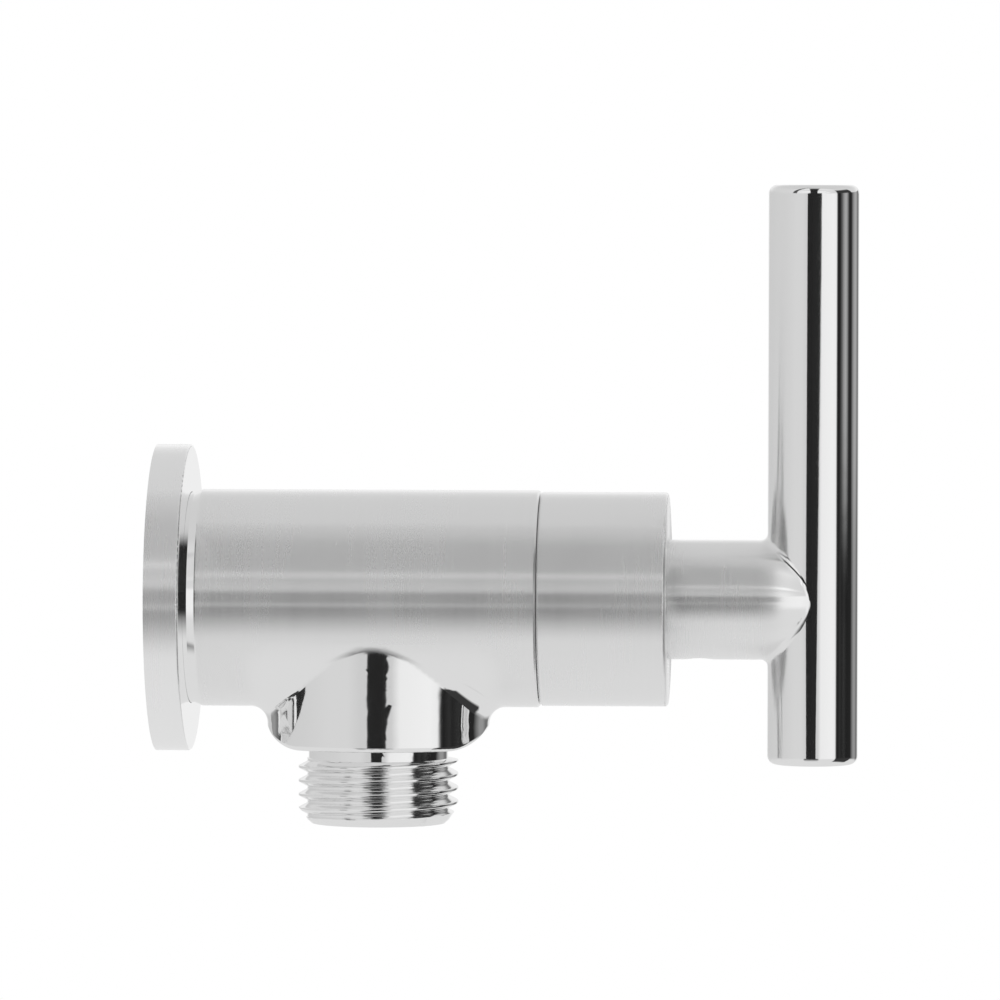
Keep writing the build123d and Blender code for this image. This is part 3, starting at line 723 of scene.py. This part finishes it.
def front_light(t, turn, rise):
    """Panels at eye level, with the dark opening between them, wider towards the top."""
    low_right = t.product(t.ease(turn, 61.0, 64.0), t.ease(rise, -1.9, -2.7))
    panels = t.mix_colour(low_right, round_ramp(t, turn, FRONT_PANELS), round_ramp(t, turn, LOW_RIGHT_PANELS))
    widening = t.product(t.math("MAXIMUM", t.math("ADD", rise, 4.0), 0.0), 3.3)
    right_edge = t.math("ADD", t.math("MINIMUM", widening, 12.0), 9.2)
    left_edge = t.ease(rise, -3.2, -2.6, -8.0, -14.0)
    soft = 0.7
    inside_right = t.ease(t.math("SUBTRACT", turn, right_edge), soft, -soft)
    inside_left = t.ease(t.math("SUBTRACT", turn, left_edge), -soft, soft)
    return t.mix_colour(t.product(inside_right, inside_left), panels, DARK_ROOM)


def overhead_light(t, tilt, turn, rise, aside, x):
    """Panels above, brighter in front, with dark gaps before, to the right and to the left."""
    in_front = t.ease(t.math("ABSOLUTE", tilt), 84.0, 58.0)
    panels = round_ramp(t, tilt, OVERHEAD_PANELS)
    panels = t.vector("SCALE", panels, scale=t.math("ADD", t.product(in_front, 0.68), 1.0))
    panels = t.mix_colour(t.ease(t.math("ABSOLUTE", x), 0.45, 0.85), panels, OVERHEAD_SIDES)
    gap = t.window(aside, (-8.7, -7.3), (9.0, 11.0))
    panels = t.mix_colour(t.product(gap, in_front), panels, DARK_ROOM)
    to_right = t.product(t.window(turn, (60.0, 64.0), (110.0, 116.0)), t.ease(rise, 42.0, 30.0))
    panels = t.mix_colour(to_right, panels, SIDE_ROOM)
    strip = t.product(t.window(turn, (-56.0, -54.0), (-45.0, -43.0)), 0.93)
    return t.mix_colour(strip, panels, BLACK_STRIP)


def studio_light():
    """Soft light panels round the valve, told by direction, on a white backdrop."""
    world = bpy.data.worlds.new("studio")
    bpy.context.scene.world = world
    world.use_nodes = True
    world.node_tree.nodes.clear()
    t = Tree(world.node_tree)
    x, y, z = t.xyz(t.node("ShaderNodeTexCoord").outputs["Generated"])
    forward = t.product(y, -1.0)
    to_degrees = 180.0 / math.pi
    turn = t.product(t.math("ARCTAN2", x, forward), to_degrees)
    tilt = t.product(t.math("ARCTAN2", z, forward), to_degrees)
    rise = t.product(t.math("ARCSINE", z), to_degrees)
    aside = t.product(t.math("ARCSINE", x), to_degrees)

    level = t.mix_colour(
        t.ease(rise, 7.0, 11.0), front_light(t, turn, rise), overhead_light(t, tilt, turn, rise, aside, x))
    level = t.mix_colour(t.ease(rise, -8.0, -20.0), level, FLOOR_BOUNCE)
    low_front = t.product(
        t.window(turn, (-23.0, -18.0), (13.0, 19.0)), t.window(rise, (-47.0, -5.0), (-7.5, -5.0)))
    level = t.mix_colour(low_front, level, DARK_ROOM)
    low_right = t.product(
        t.window(turn, (60.0, 64.0), (110.0, 116.0)), t.window(rise, (-48.0, -36.0), (-8.0, -5.0)))
    level = t.mix_colour(low_right, level, SIDE_ROOM)

    panel_light = t.node("ShaderNodeBackground")
    t.link(level, panel_light.inputs["Color"])
    backdrop = t.node("ShaderNodeBackground")
    backdrop.inputs["Color"].default_value = grey(1.0)
    chosen = t.node("ShaderNodeMixShader")
    t.link(t.node("ShaderNodeLightPath").outputs["Is Camera Ray"], chosen.inputs[0])
    t.link(panel_light.outputs[0], chosen.inputs[1])
    t.link(backdrop.outputs[0], chosen.inputs[2])
    t.link(chosen.outputs[0], t.node("ShaderNodeOutputWorld").inputs["Surface"])


def studio_camera():
    camera_data = bpy.data.cameras.new("camera")
    camera_data.sensor_width = 36.0
    camera_data.lens = CAMERA_LENS
    camera_data.clip_start, camera_data.clip_end = 0.05, 20.0
    camera = bpy.data.objects.new("camera", camera_data)
    bpy.context.scene.collection.objects.link(camera)
    camera.location = CAMERA_PLACE
    camera.rotation_mode = "QUATERNION"
    aim = (SUBJECT - camera.location).to_track_quat("-Z", "Y")
    camera.rotation_quaternion = aim @ Quaternion((0, 0, 1), CAMERA_ROLL)
    bpy.context.scene.camera = camera


pale_floor()
black_flag()
studio_light()
studio_camera()
bpy.context.scene.view_settings.view_transform = "Standard"
